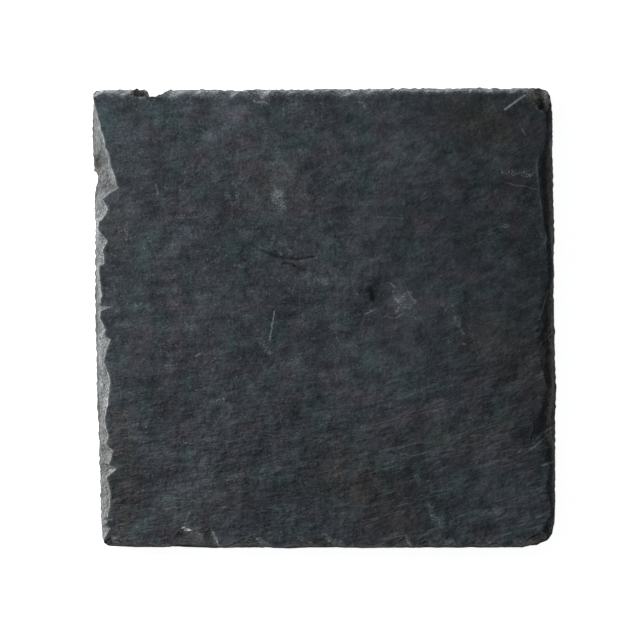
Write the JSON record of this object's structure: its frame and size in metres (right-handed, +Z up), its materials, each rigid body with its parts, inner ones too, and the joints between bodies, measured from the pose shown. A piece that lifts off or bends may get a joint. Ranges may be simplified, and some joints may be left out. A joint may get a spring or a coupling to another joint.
{
  "type": "slate slab",
  "caption": "Small square slab of dark riven slate with flaked, hand-trimmed edges and a flat underside.",
  "frame": {"origin": "under the middle of the slab, on the plane that its underside rests on", "axes": "+Z up through the slab's thickness; +X to the right and +Y away along its sides, with the notched side at +Y and the notch near its -X end"},
  "size_m": [0.1012, 0.1004, 0.0057],
  "materials": {
    "slate": "matte"
  },
  "bodies": {
    "root": {"slate_slab": "slate"}
  },
  "joints": []
}
